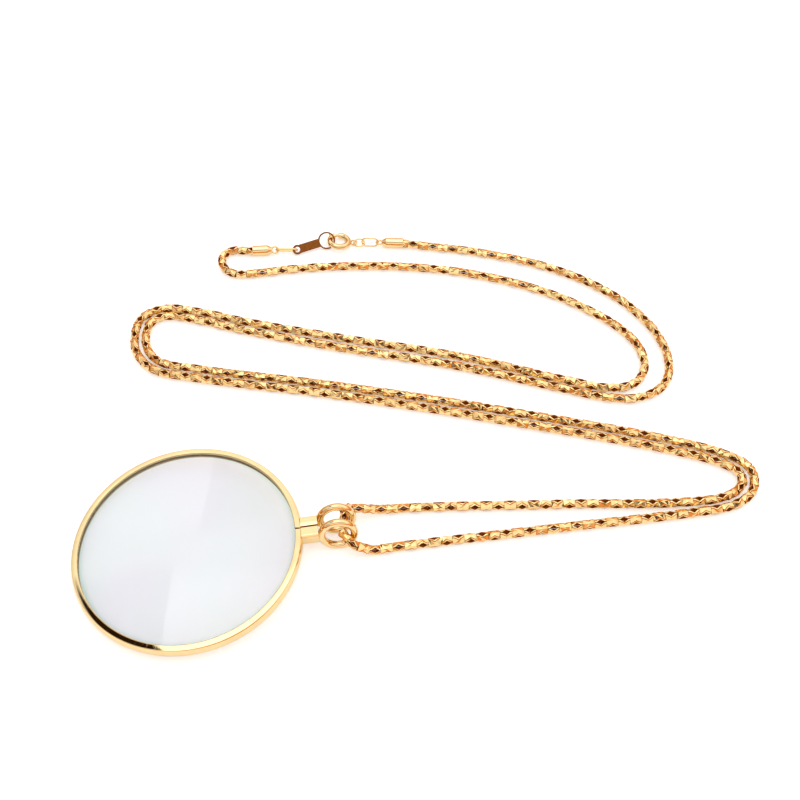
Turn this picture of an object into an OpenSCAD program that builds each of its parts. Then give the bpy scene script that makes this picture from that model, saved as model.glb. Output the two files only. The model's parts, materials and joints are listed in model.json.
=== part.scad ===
// A round lens in a split gold rim, hung by two eyes on a long doubled chain.
// The necklace lies flat on a surface in the loops that it was laid in. Millimetres.

/* [Lens] */
// Diameter of the lens
lens_d = 42.8; // [36:0.2:50]
// Thickness of the lens at its edge
lens_edge = 1; // [0.7:0.05:1.2]
// Height of each domed face above the edge
lens_dome = 1.4; // [0.6:0.1:1.6]

/* [Rim] */
// Width of the lens edge that the rim's lips cover
lip = 0.4; // [0.3:0.05:0.7]
// Wall of the rim outside the lens
rim_wall = 0.95; // [0.8:0.05:1.4]
// Height of the rim at its inner crest
rim_h = 2.6; // [2.4:0.1:3.2]
// Height of the rim's rounded outer side
rim_side = 2.3; // [1.6:0.1:2.4]
// How far the rounded side stands out past its edges
rim_bulge = 0.35; // [0.1:0.05:0.5]
// Flat cut off the rim's inner crests
rim_edge = 0.12; // [0.05:0.01:0.2]

/* [Lugs] */
// Width of the two lugs together, across the split
lug_w = 4.7; // [4.2:0.1:5.6]
// Length of the lugs, from the rim's outer side
lug_l = 3; // [2.6:0.1:4.5]
// Height of the lugs
lug_h = 3; // [2.6:0.1:3.6]
// Flat cut off each long edge of the lugs
lug_edge = 0.35; // [0.1:0.05:0.5]
// Width of the split in the rim and between the lugs
split = 0.25; // [0.15:0.05:0.4]
// Width of the notch in the rim, inside the split
notch_w = 0.4; // [0.4:0.05:0.6]
// Length of the notch
notch_l = 0.8; // [0.4:0.1:1.2]

/* [Lug screw] */
// Diameter of the screw's head
head_d = 1.5; // [1.2:0.1:1.8]
// Height of the screw's head
head_h = 0.5; // [0.4:0.05:0.8]
// Diameter of the screw's shank
shank_d = 0.9; // [0.6:0.05:1]
// Width of the screw's slot
slot_w = 0.3; // [0.2:0.05:0.4]
// Depth of the screw's slot
slot_depth = 0.22; // [0.1:0.02:0.3]

/* [Bail eyes] */
// Hole in each eye
eye_hole = 4.9; // [4.6:0.1:5.4]
// Wire of each eye
eye_wire = 1.5; // [1.3:0.1:1.7]
// Distance between the two eyes, from middle to middle
eye_pitch = 3.5; // [2.6:0.1:3.6]
// Lean of the eyes, in degrees
eye_lean = 11; // [0:1:14]

/* [Chain] */
// Diameter of the chain
chain_d = 1.9; // [1.6:0.1:2]

/* [Clasp] */
// Outer diameter of the clasp ring
clasp_d = 5.8; // [5.4:0.1:6.4]
// Diameter of the clasp ring's tube
clasp_tube = 1.38; // [1.2:0.02:1.4]
// Diameter of the bolt in the tube
bolt_d = 0.7; // [0.5:0.05:0.8]
// Diameter of the bolt's stem
stem_d = 0.3; // [0.2:0.02:0.36]
// Diameter of the bolt's knob
knob_d = 0.6; // [0.5:0.05:0.7]
// Arc of the tube that the bolt closes, in degrees
gate_arc = 28; // [20:1:32]
// Outer diameter of the clasp's fixed eye
fixed_eye_d = 1.7; // [1.6:0.1:2]
// Wire of the fixed eye, the jump ring and the end link
fine_wire = 0.4; // [0.3:0.05:0.4]

/* [Rings and links] */
// Outer diameter of the jump ring
jump_d = 2.9; // [2.7:0.1:3.4]
// Length of the end link
end_link_l = 4.2; // [3.6:0.1:5]
// Width of the end link
end_link_w = 2.4; // [2.2:0.1:2.8]
// Length of the connector between the tag and the left cap
connector_l = 5.4; // [4.6:0.1:7]
// Width of the connector
connector_w = 1.9; // [1.8:0.1:2.3]
// Wire of the connector and of the left cap's eye
link_wire = 0.45; // [0.35:0.05:0.45]

/* [Tag] */
// Outer diameter of the tag's large ring
tag_ring_d = 4.1; // [4:0.1:4.8]
// Hole in the tag's large ring
tag_hole = 3.4; // [3.3:0.1:3.6]
// Outer diameter of the tag's small ring
tag_end_d = 2.3; // [2.1:0.1:2.6]
// Hole in the tag's small ring
tag_end_hole = 1.3; // [1.2:0.1:1.5]
// Distance between the two holes
tag_span = 7.3; // [5.5:0.1:9]
// Width of the tag's plate
tag_w = 2; // [1.4:0.1:2.1]
// Thickness of the tag
tag_t = 0.35; // [0.25:0.05:0.4]

/* [End caps] */
// Outer diameter of the end caps
cap_d = 2.4; // [2.3:0.05:2.8]
// Length of the right cap
right_cap_l = 5; // [4:0.1:7]
// Length of the left cap
left_cap_l = 4.5; // [3.6:0.1:6]
// Depth to which the chain sits in a cap
cap_hold = 1.2; // [0.8:0.1:1.8]
// Outer diameter of the right cap's eye
right_eye_d = 1.9; // [1.8:0.1:2.3]
// Outer diameter of the left cap's eye
left_eye_d = 2; // [1.9:0.1:2.4]

/* [Hidden] */

// Columns of the tables below
X = 0;
Y = 1;
Z = 2;
APART = 2;

// Fits and clearances
fit = 0.05;        // round a screw, the bolt, and between hooked wires
seat_gap = 0.1;    // round the lens in its groove
thread_gap = 0.1;  // between the chain and the eye that it runs through
solder = 0.25;     // depth to which an eye runs into what it is soldered to

// Where the doubled chain is laid, from the eyes to the clasp: the middle of the two
// strands, and how far apart their middles are
lay = [
    // x, y, apart
    [-6, -26.4, 8.7],
    [28, -23.6, 5.3],
    [55.5, -21.4, 2.4],
    [60.6, -20.4, 2.4],
    [64.4, -18.2, 2.4],
    [66, -15.4, 2.4],
    [65.2, -12.4, 2.5],
    [62, -10.2, 2.4],
    [57, -8.2, 2.4],
    [20, 0.4, 2.5],
    [-18, 7.6, 2.4],
    [-51, 12.7, 2.4],
    [-57, 14.1, 2.4],
    [-60.5, 17, 2.4],
    [-62.3, 21, 2.5],
    [-62.6, 24.8, 2.5],
    [-61.3, 28, 2.5],
    [-58, 29.8, 2.3],
    [-51, 29, 2.3],
    [-40, 26, 2.4],
    [-18, 21, 2.7],
    [9, 15.5, 2.7],
    [32, 9, 2.4],
    [40, 7.1, 2.6],
    [46, 7.6, 3.7],
    [50, 10.7, 5.1],
    [51.4, 15.5, 5.3],
    [50.2, 21.8, 5.6],
    [46.5, 27.7, 6.4],
    [41, 33, 7.3],
    [30, 39.7, 7.6],
    [14, 45, 7.2],
    [-1, 47.5, 7.3]
];
lay_middle = [for (row = lay) [row[X], row[Y]]];

// Where the left strand goes on alone, round to the left end cap
left_tail = [
    // x, y
    [-16, 44.3],
    [-30, 43.3],
    [-39.5, 41.9],
    [-43.5, 42],
    [-45.9, 44.2],
    [-46.3, 47.2],
    [-44.6, 49.3],
    [-42, 49.4]
];

// Where each strand leaves the eyes, from the middle between them: along the
// pendant's axis, across it, and down from the middle of an eye
right_start = [
    // along, across, down
    [1.35, -2.7, 0.4],
    [2.3, -3.7, 0.7],
    [4, -4.4, 1.6],
    [5.4, -4.6, 2.5],
    [7.2, -4.6, 2.95]
];
left_start = [
    // along, across, down
    [1.35, 2.8, 0.4],
    [2.2, 3.8, 0.6],
    [4.4, 4.2, 1.2],
    [7.6, 4.2, 2.2]
];
thread_drop = 0.4;   // how far the chain hangs below the middle of an eye
cap_lead = 0.7;      // straight length of chain before a cap's mouth
tag_slack = 0.75;    // from the middle of the clasp's tube to the middle of the tag's ring
tag_end_hook = 0.1;  // from the middle of the tag's small hole to the connector's wire
tag_dip = 0.4;       // how much lower the tag's small end lies than its ring

// The pendant: where the middle between its eyes lies, and the turn of its axis
eyes_at = [-16.9, -27.7];
pendant_turn = 7.5;

// The clasp: where its middle lies, and its lean towards each side
clasp_at = [-19.2, 52.3];
clasp_lean_x = -8;
clasp_lean_y = 5;
right_turn = -2.6;    // direction from the clasp to the right cap
tag_side = 185;       // side of the clasp ring where the tag hooks in
tag_turn = 201;       // direction of the tag, from its large ring to its small one
connector_turn = 180;
left_cap_turn = 184;

// How far each flat piece is rolled about its length: 0 lies flat, 90 stands on edge
tag_roll = 48;
connector_roll = 118;
left_eye_roll = 30;
jump_roll = 0;
end_link_roll = 75;
right_eye_roll = -10;

// Lens and rim
lens_r = lens_d / 2;
seat_r = lens_r + seat_gap;
seat_h = lens_edge + 2 * seat_gap + 0.1;
lip_r = lens_r - lip;
rim_r = seat_r + rim_wall;
dome_r = (lens_r * lens_r + lens_dome * lens_dome) / (2 * lens_dome);

// The rounded side is an arc through both of the rim's outer edges
bulge_r = (pow(rim_side / 2, 2) + rim_bulge * rim_bulge) / (2 * rim_bulge);
bulge_arc = asin(rim_side / 2 / bulge_r);
bulge_steps = 8;
rim_profile = concat(
    [
        [seat_r, -seat_h / 2],
        [lip_r, -seat_h / 2],
        [lip_r, -rim_h / 2 + rim_edge],
        [lip_r + rim_edge, -rim_h / 2]
    ],
    [
        for (i = [0:bulge_steps])
            let (a = bulge_arc * (2 * i / bulge_steps - 1))
                [rim_r - bulge_r + bulge_r * cos(a), bulge_r * sin(a)]
    ],
    [
        [lip_r + rim_edge, rim_h / 2],
        [lip_r, rim_h / 2 - rim_edge],
        [lip_r, seat_h / 2],
        [seat_r, seat_h / 2]
    ]
);

// Lugs and their screw
lug_root = 0.3;       // depth to which the lugs run into the rim
lug_profile = [
    [-lug_w / 2, -lug_h / 2 + lug_edge],
    [-lug_w / 2 + lug_edge, -lug_h / 2],
    [lug_w / 2 - lug_edge, -lug_h / 2],
    [lug_w / 2, -lug_h / 2 + lug_edge],
    [lug_w / 2, lug_h / 2 - lug_edge],
    [lug_w / 2 - lug_edge, lug_h / 2],
    [-lug_w / 2 + lug_edge, lug_h / 2],
    [-lug_w / 2, lug_h / 2 - lug_edge]
];
screw_x = rim_r + lug_l / 2;
head_sunk = 0.1;      // depth of the head below the lug's side
shank_l = lug_w - head_h - head_sunk - 0.6;

// Eyes
eye_r = (eye_hole + eye_wire) / 2;
eye_x = rim_r + lug_l + eye_r + eye_wire / 2 - solder;
eye_z = eye_r * cos(eye_lean) + eye_wire / 2;
threaded = eye_hole / 2 - chain_d / 2 - thread_gap;

// The pendant rests on the rim's far edge and on both eyes
rest_r = lip_r + rim_edge + eye_x;
pendant_tilt = asin(eye_z / norm([rest_r, rim_h / 2])) - atan2(rim_h / 2, rest_r);
disc_at = eyes_at - eye_x * cos(pendant_tilt) * [cos(pendant_turn), sin(pendant_turn)];

// Clasp
clasp_r = (clasp_d - clasp_tube) / 2;
clasp_axis_tilt = acos(cos(clasp_lean_x) * cos(clasp_lean_y));
bore_d = bolt_d + 2 * fit;
tip_hold = 4;         // arc by which the bolt's tip enters the far side
gate_start = 98;
gate_end = gate_start + gate_arc;
bolt_start = gate_start - tip_hold;
stem_at = gate_end + 11;
bolt_arc = 90;
bolt_travel = gate_arc + tip_hold - 2;
slot_end_margin = 5;
knob_r = clasp_d / 2 + fit + knob_d / 2;

// Pieces to the right of the clasp, by their distance from its middle
fixed_eye_x = clasp_d / 2 + fixed_eye_d / 2 - solder;
fixed_eye_drop = fixed_eye_x * sin(clasp_lean_y);
clasp_z = max(clasp_r * sin(clasp_axis_tilt) + clasp_tube / 2, fixed_eye_drop + fixed_eye_d / 2);
jump_r = (jump_d - fine_wire) / 2;
jump_x = fixed_eye_x + jump_r + fit;
end_link_r = (end_link_w - fine_wire) / 2;
end_link_z = end_link_r * sin(end_link_roll) + fine_wire / 2;
jump_z = clasp_z - fixed_eye_drop;
end_link_bow = end_link_r - sqrt(end_link_r * end_link_r - pow(end_link_z - jump_z, 2));
end_link_x = jump_x + jump_r - fine_wire - 2 * fit - end_link_bow + end_link_l / 2 - fine_wire / 2;
right_eye_r = (right_eye_d - fine_wire) / 2;
right_eye_x = end_link_x + end_link_l / 2 - fine_wire / 2 - fine_wire - fit + right_eye_r;
right_mouth_x = right_eye_x + right_eye_d / 2 - solder + right_cap_l;
right_end = along(clasp_at, right_turn, right_mouth_x);
cap_z = cap_d / 2;

// Pieces to the left of the clasp
tag_at = along(clasp_at, tag_side, clasp_r + tag_slack);
tag_pitch = asin(tag_dip / tag_span);
tag_tilt = acos(cos(tag_roll) * cos(tag_pitch));
tag_z = (tag_ring_d / 2) * sin(tag_tilt) + (tag_t / 2) * cos(tag_tilt);
tag_end_z = tag_z - tag_dip;
tag_end_at = along(tag_at, tag_turn, tag_span * cos(tag_pitch));
connector_r = (connector_l - link_wire) / 2;
connector_z = (tag_end_z + cap_z) / 2;
connector_near = along(tag_end_at, tag_turn, tag_end_hook);
connector_at = along(connector_near, connector_turn, connector_r);
connector_far = along(connector_near, connector_turn, 2 * connector_r);
left_eye_r = (left_eye_d - link_wire) / 2;
left_eye_at = along(connector_far, connector_turn, left_eye_r - link_wire - fit);
left_mouth_x = left_eye_d / 2 - solder + left_cap_l;
left_end = along(left_eye_at, left_cap_turn, left_mouth_x);

// The box of the whole necklace, which its origin is in the middle of
rim_reach_x = norm([rim_r * cos(pendant_tilt) * cos(pendant_turn), rim_r * sin(pendant_turn)]);
rim_reach_y = norm([rim_r * cos(pendant_tilt) * sin(pendant_turn), rim_r * cos(pendant_turn)]);
low_x = disc_at[X] - rim_reach_x;
high_x = max([for (p = right_strand()) p[X]]) + chain_d / 2;
low_y = disc_at[Y] - rim_reach_y;
high_y = clasp_at[Y] + clasp_d / 2;
middle = [(low_x + high_x) / 2, (low_y + high_y) / 2];

GOLD = "goldenrod";
PALE_GOLD = "khaki";
GLASS = "aliceblue";

// Points and directions

function along(p, turn, distance) = p + distance * [cos(turn), sin(turn)];

function unit(v) = v / norm(v);

// Direction of a path at one of its points: halfway between its two neighbours
function heading(path, i) =
    i == 0 ? unit(path[1] - path[0]) :
    i == len(path) - 1 ? unit(path[i] - path[i - 1]) :
    unit(unit(path[i] - path[i - 1]) + unit(path[i + 1] - path[i]));

// One strand of the doubled stretch: side is 1 for the left strand, -1 for the right
function strand(side) = [
    for (i = [0:len(lay) - 1])
        let (h = heading(lay_middle, i), p = lay_middle[i] + side * lay[i][APART] / 2 * [-h[Y], h[X]])
            [p[X], p[Y], chain_d / 2]
];

// A point given from the middle between the eyes
function from_eyes(along_axis, across, down) =
    let (p = along(along(eyes_at, pendant_turn, along_axis), pendant_turn + 90, across))
        [p[X], p[Y], max(eye_z - down, chain_d / 2)];

function start(rows, side) = concat(
    [for (w = [0, side * eye_pitch / 2]) from_eyes(threaded, w, thread_drop)],
    [for (row = rows) from_eyes(row[0], row[1], row[2])]
);

// The chain's last two points: just outside the mouth of its cap, and inside it
function cap_end(mouth, turn) = [
    for (depth = [-cap_lead, cap_hold - fit])
        let (p = along(mouth, turn + 180, depth)) [p[X], p[Y], cap_z]
];

function right_strand() = concat(
    start(right_start, -1),
    strand(-1),
    cap_end(right_end, right_turn)
);

function left_strand() = concat(
    start(left_start, 1),
    strand(1),
    [for (row = left_tail) [row[X], row[Y], chain_d / 2]],
    cap_end(left_end, left_cap_turn)
);

// Shared shapes

// Moves what it holds into the frame whose origin is below the middle of the box
module at_home() translate([-middle[X], -middle[Y], 0]) children();

// A round ring of round wire, lying flat
module wire_ring(r, wire) rotate_extrude($fn = 96) translate([r, 0]) circle(d = wire, $fn = 32);

// A long link of round wire with half-round ends, lying flat along X
module oval_link(length, width, wire) {
    r = (width - wire) / 2;
    straight = length - width;
    for (side = [-1, 1]) {
        translate([side * straight / 2, 0, 0])
            rotate_extrude(angle = 180, start = side * 90 + 180, $fn = 64)
                translate([r, 0]) circle(d = wire, $fn = 32);
        translate([-straight / 2, side * r, 0])
            rotate([0, 90, 0]) cylinder(d = wire, h = straight, $fn = 32);
    }
}

// A tube of eight sides along a path
module swept_tube(path, d) {
    sides = 8;
    points = [
        for (i = [0:len(path) - 1])
            let (h = heading(path, i), side = unit(cross([0, 0, 1], h)), up = cross(h, side))
                for (k = [0:sides - 1])
                    let (a = 360 * k / sides) path[i] + d / 2 * (cos(a) * side + sin(a) * up)
    ];
    walls = [
        for (i = [0:len(path) - 2], k = [0:sides - 1])
            let (a = i * sides + k, b = i * sides + (k + 1) % sides)
                each [[a, a + sides, b + sides], [a, b + sides, b]]
    ];
    last = (len(path) - 1) * sides;
    first_end = [for (k = [0:sides - 1]) k];
    last_end = [for (k = [sides - 1:-1:0]) last + k];
    polyhedron(points = points, faces = concat(walls, [first_end, last_end]), convexity = 10);
}

// An end cap along X with its mouth at the origin, open towards -X
module end_cap(length, eye_d, wire, roll) {
    r = cap_d / 2;
    bore_r = chain_d / 2 + fit;
    neck_l = 0.9;
    neck_r = r * 0.55;
    rounding = 0.1;
    rotate([0, 90, 0]) rotate_extrude($fn = 96) polygon([
        [bore_r, 0],
        [r - rounding, 0],
        [r, rounding],
        [r, length - neck_l],
        [neck_r, length],
        [0, length],
        [0, cap_hold],
        [bore_r, cap_hold]
    ]);
    translate([length + eye_d / 2 - solder, 0, 0])
        rotate([roll, 0, 0]) wire_ring((eye_d - wire) / 2, wire);
}

// Places the pendant: its disc's middle is the origin, its eyes lie along X
module as_pendant() {
    at_home()
        translate([eyes_at[X], eyes_at[Y], eye_z])
            rotate([0, -pendant_tilt, pendant_turn])
                translate([-eye_x, 0, 0])
                    children();
}

// Places the clasp: its ring's middle is the origin
module as_clasp() {
    at_home()
        translate([clasp_at[X], clasp_at[Y], clasp_z])
            rotate([clasp_lean_x, clasp_lean_y, right_turn])
                children();
}

// Places a piece on the line that runs from the clasp to the right
module on_right_line(x, z, roll) {
    p = along(clasp_at, right_turn, x);
    at_home() translate([p[X], p[Y], z]) rotate([roll, 0, right_turn]) children();
}

// Pendant

module rim() {
    color(GOLD) as_pendant() difference() {
        union() {
            rotate_extrude($fn = 180) polygon(rim_profile);
            translate([rim_r - lug_root, 0, 0])
                rotate([90, 0, 90]) linear_extrude(lug_root + lug_l) polygon(lug_profile);
            for (side = [-1, 1])
                translate([eye_x, side * eye_pitch / 2, 0])
                    rotate([90 - eye_lean, 0, 0]) wire_ring(eye_r, eye_wire);
        }
        translate([lip_r - 1, -split / 2, -lug_h])
            cube([rim_r - lip_r + lug_l + 1.5, split, 2 * lug_h]);
        translate([lip_r - 1, -notch_w / 2, -lug_h])
            cube([1 + notch_l, notch_w, 2 * lug_h]);
        translate([screw_x, -lug_w / 2, 0]) rotate([-90, 0, 0]) {
            translate([0, 0, -1]) cylinder(d = head_d + 2 * fit, h = 1 + head_sunk + head_h + fit, $fn = 48);
            cylinder(d = shank_d + 2 * fit, h = head_sunk + head_h + shank_l + fit, $fn = 48);
        }
    }
}

module lens() {
    lens_h = lens_edge + 2 * lens_dome;
    color(GLASS, 0.5) as_pendant() rotate_extrude($fn = 180) intersection() {
        translate([0, lens_h / 2 - dome_r]) circle(r = dome_r, $fn = 1440);
        translate([0, dome_r - lens_h / 2]) circle(r = dome_r, $fn = 1440);
        translate([0, -lens_h / 2]) square([lens_r, lens_h]);
    }
}

module lug_screw() {
    color(GOLD) as_pendant()
        translate([screw_x, -lug_w / 2 + head_sunk, 0]) rotate([-90, 0, 0]) difference() {
            union() {
                cylinder(d = head_d, h = head_h, $fn = 48);
                cylinder(d = shank_d, h = head_h + shank_l, $fn = 48);
            }
            translate([-head_d, -slot_w / 2, -1]) cube([2 * head_d, slot_w, 1 + slot_depth]);
        }
}

// Chain

module chain_right() {
    color(PALE_GOLD) at_home() swept_tube(right_strand(), chain_d);
}

module chain_left() {
    color(PALE_GOLD) at_home() swept_tube(left_strand(), chain_d);
}

module right_cap() {
    color(PALE_GOLD) on_right_line(right_mouth_x, cap_z, 0)
        rotate([0, 0, 180]) end_cap(right_cap_l, right_eye_d, fine_wire, -right_eye_roll);
}

module left_cap() {
    color(PALE_GOLD) at_home() translate([left_end[X], left_end[Y], cap_z])
        rotate([0, 0, left_cap_turn + 180]) end_cap(left_cap_l, left_eye_d, link_wire, left_eye_roll);
}

// Clasp

module clasp_ring() {
    color(GOLD) as_clasp() {
        difference() {
            wire_ring(clasp_r, clasp_tube);
            rotate_extrude(angle = gate_arc, start = gate_start, $fn = 96)
                translate([clasp_r - clasp_tube, -clasp_tube]) square(2 * clasp_tube);
            rotate_extrude(angle = bolt_travel + bolt_arc + 6, start = bolt_start - 2, $fn = 96)
                translate([clasp_r, 0]) circle(d = bore_d, $fn = 32);
            rotate_extrude(angle = bolt_travel + 2 * slot_end_margin, start = stem_at - slot_end_margin, $fn = 96)
                translate([clasp_r, -stem_d / 2 - fit]) square([clasp_tube, stem_d + 2 * fit]);
        }
        translate([fixed_eye_x, 0, 0]) rotate([90, 0, 0]) wire_ring((fixed_eye_d - fine_wire) / 2, fine_wire);
    }
}

module clasp_bolt() {
    color(GOLD) as_clasp() {
        rotate_extrude(angle = bolt_arc, start = bolt_start, $fn = 96)
            translate([clasp_r, 0]) circle(d = bolt_d, $fn = 32);
        rotate([0, 0, stem_at]) {
            translate([clasp_r, 0, 0]) rotate([0, 90, 0]) cylinder(d = stem_d, h = knob_r - clasp_r, $fn = 24);
            translate([knob_r, 0, 0]) sphere(d = knob_d, $fn = 32);
        }
    }
}

module jump_ring() {
    color(GOLD) on_right_line(jump_x, jump_z, jump_roll) wire_ring(jump_r, fine_wire);
}

module end_link() {
    color(GOLD) on_right_line(end_link_x, end_link_z, end_link_roll)
        oval_link(end_link_l, end_link_w, fine_wire);
}

// Tag and connector

module tag() {
    color(GOLD) at_home() translate([tag_at[X], tag_at[Y], tag_z])
        rotate([0, 0, tag_turn - 180]) rotate([0, -tag_pitch, 0]) rotate([tag_roll, 0, 0])
            translate([0, 0, -tag_t / 2]) linear_extrude(tag_t) difference() {
                union() {
                    circle(d = tag_ring_d, $fn = 64);
                    translate([-tag_span, 0]) circle(d = tag_end_d, $fn = 64);
                    translate([-tag_span, -tag_w / 2]) square([tag_span, tag_w]);
                }
                circle(d = tag_hole, $fn = 64);
                translate([-tag_span, 0]) circle(d = tag_end_hole, $fn = 64);
            }
}

module connector() {
    color(GOLD) at_home() translate([connector_at[X], connector_at[Y], connector_z])
        rotate([-connector_roll, 0, connector_turn]) oval_link(connector_l, connector_w, link_wire);
}

rim();
lens();
lug_screw();
chain_right();
chain_left();
right_cap();
end_link();
jump_ring();
clasp_ring();
clasp_bolt();
tag();
connector();
left_cap();
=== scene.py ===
"""A magnifier pendant: a gold-rimmed lens on a long doubled chain, lying on a pale surface."""

import json
import math

import bmesh
import bpy
from bpy.props import FloatProperty, FloatVectorProperty, IntProperty, PointerProperty
from bpy.types import Operator, Panel, PropertyGroup
from mathutils import Euler, Matrix, Vector


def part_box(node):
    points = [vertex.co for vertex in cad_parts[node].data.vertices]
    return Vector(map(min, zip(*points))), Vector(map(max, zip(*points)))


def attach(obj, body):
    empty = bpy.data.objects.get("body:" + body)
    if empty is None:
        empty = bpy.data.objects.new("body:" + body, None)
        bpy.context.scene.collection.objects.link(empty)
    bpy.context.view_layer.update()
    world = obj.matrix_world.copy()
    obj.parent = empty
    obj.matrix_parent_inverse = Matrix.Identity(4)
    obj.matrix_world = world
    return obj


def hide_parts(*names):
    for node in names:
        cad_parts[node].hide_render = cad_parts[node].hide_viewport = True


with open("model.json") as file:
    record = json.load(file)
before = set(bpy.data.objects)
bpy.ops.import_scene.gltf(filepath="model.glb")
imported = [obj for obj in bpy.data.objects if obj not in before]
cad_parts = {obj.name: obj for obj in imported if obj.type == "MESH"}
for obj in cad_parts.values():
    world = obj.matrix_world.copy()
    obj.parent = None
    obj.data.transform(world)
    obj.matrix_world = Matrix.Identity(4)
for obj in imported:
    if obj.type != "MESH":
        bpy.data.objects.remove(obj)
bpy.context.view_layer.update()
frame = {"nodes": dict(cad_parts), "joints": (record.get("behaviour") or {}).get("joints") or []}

bl_info = {
    "name": "Magnifier pendant",
    "version": (1, 0, 0),
    "blender": (4, 5, 0),
    "location": "3D View > Sidebar > Pendant",
    "description": "Builds the looks of a magnifier pendant on a long chain",
    "category": "Object",
}

MM = 0.001
BODY = "necklace"

# The clasp's hinge gives the clasp's middle
CLASP_MIDDLE = Vector(frame["joints"][0]["pos_m"])

# The route of the chain is given from a point of its own, where the clasp lies here
CLASP_IN_ROUTE = (-19.2, 52.3)
ROUTE_SHIFT = Vector((
    CLASP_MIDDLE.x - CLASP_IN_ROUTE[0] * MM,
    CLASP_MIDDLE.y - CLASP_IN_ROUTE[1] * MM,
))

# Columns of the tables below
X, Y, APART, DOWN, ROLL = 0, 1, 2, 2, {-1: 3, 1: 4}

# The middle of the doubled chain from the eyes to the clasp, in millimetres, how far
# apart the middles of its two strands are, and how far the right and the left strand
# are rolled about themselves, in degrees: at 0 every other opening faces the camera
LAY = (
    (-6, -26.4, 8.7, 0, 0), (28, -23.6, 5.3, 80, 35), (55.5, -21.4, 2.4, 45, 50),
    (60.6, -20.4, 2.4, 40, 60), (64.4, -18.2, 2.4, 30, 80), (66, -15.4, 2.4, 45, 90),
    (65.2, -12.4, 2.5, 60, 100), (62, -10.2, 2.4, 70, 110), (57, -8.2, 2.4, 80, 120),
    (20, 0.4, 2.5, 130, 100), (-18, 7.6, 2.4, 90, 140), (-51, 12.7, 2.4, 45, 130),
    (-57, 14.1, 2.4, 40, 120), (-60.5, 17, 2.4, 30, 110), (-62.3, 21, 2.5, 20, 90),
    (-62.6, 24.8, 2.5, 0, 80), (-61.3, 28, 2.5, -20, 60), (-58, 29.8, 2.3, -40, 45),
    (-51, 29, 2.3, -60, 40), (-40, 26, 2.4, -60, 30), (-18, 21, 2.7, -90, 50),
    (9, 15.5, 2.7, -45, 0), (32, 9, 2.4, -20, -40), (40, 7.1, 2.6, 0, -60),
    (46, 7.6, 3.7, 20, -60), (50, 10.7, 5.1, 45, -50), (51.4, 15.5, 5.3, 60, -35),
    (50.2, 21.8, 5.6, 90, -10), (46.5, 27.7, 6.4, 110, 20), (41, 33, 7.3, 120, 50),
    (30, 39.7, 7.6, 140, 75), (14, 45, 7.2, 170, 90), (-1, 47.5, 7.3, 180, 0),
)

# Where the left strand goes on alone, round to the left end cap
LEFT_TAIL = (
    (-16, 44.3, 0), (-30, 43.3, 90), (-39.5, 41.9, 95), (-43.5, 42, 125),
    (-45.9, 44.2, 135), (-46.3, 47.2, 135), (-44.6, 49.3, 135), (-42, 49.4, 135),
)

# Where each strand leaves the eyes: along the pendant's axis, across it, and down
RIGHT_START = (
    (1.35, -2.7, 0.4), (2.3, -3.7, 0.7), (4, -4.4, 1.6), (5.4, -4.6, 2.5), (7.2, -4.6, 2.95),
)
LEFT_START = ((1.35, 2.8, 0.4), (2.2, 3.8, 0.6), (4.4, 4.2, 1.2), (7.6, 4.2, 2.2))
EYES_IN_ROUTE = (-16.9, -27.7)
CAMERA_IN_ROUTE = (-4.7, -142.6)


def a_length(name, description, millimetres):
    """A setting that is a length."""
    return FloatProperty(
        name=name, description=description, default=millimetres * MM, unit="LENGTH")


def an_angle(name, description, degrees):
    """A setting that is an angle."""
    return FloatProperty(
        name=name, description=description, default=math.radians(degrees), subtype="ANGLE")


def a_colour(name, description, value):
    """A setting that is a colour."""
    return FloatVectorProperty(
        name=name, description=description, default=value, min=0, max=1, subtype="COLOR")


class StageSettings(PropertyGroup):
    """The camera, the floor and the light."""

    camera_place: FloatVectorProperty(
        name="Camera place", description="Where the camera stands",
        default=(
            CAMERA_IN_ROUTE[0] * MM + ROUTE_SHIFT.x,
            CAMERA_IN_ROUTE[1] * MM + ROUTE_SHIFT.y,
            0.197,
        ),
        subtype="TRANSLATION", unit="LENGTH")
    camera_pitch: an_angle("Camera pitch", "How far the camera looks down", 53)
    camera_lens: FloatProperty(
        name="Camera lens", description="Focal length on a sensor 36 mm wide",
        default=51.75, unit="CAMERA")
    floor_width: FloatProperty(
        name="Floor width", description="Width of the floor", default=4, unit="LENGTH")
    floor_colour: a_colour("Floor colour", "Colour of the floor", (0.95, 0.95, 0.95))
    floor_glow: FloatProperty(
        name="Floor glow", description="Light that the floor gives by itself",
        default=0.38, min=0)
    lens_glow: FloatProperty(
        name="Lens glow", description="Light that the floor gives besides, seen through glass",
        default=0.21, min=0)
    sky_strength: FloatProperty(
        name="Sky strength", description="Brightness of the soft light from above",
        default=1.2, min=0)
    horizon_strength: FloatProperty(
        name="Horizon strength", description="Brightness of the room round the stage",
        default=0.85, min=0)
    horizon_colour: a_colour(
        "Horizon colour", "Colour of the warm room round the stage", (1.0, 0.36, 0.05))
    room_low: an_angle("Room's foot", "Height in the sky where the dark room starts to fade", 10)
    room_high: an_angle("Room's top", "Height in the sky where the bright tent is reached", 42)


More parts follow.
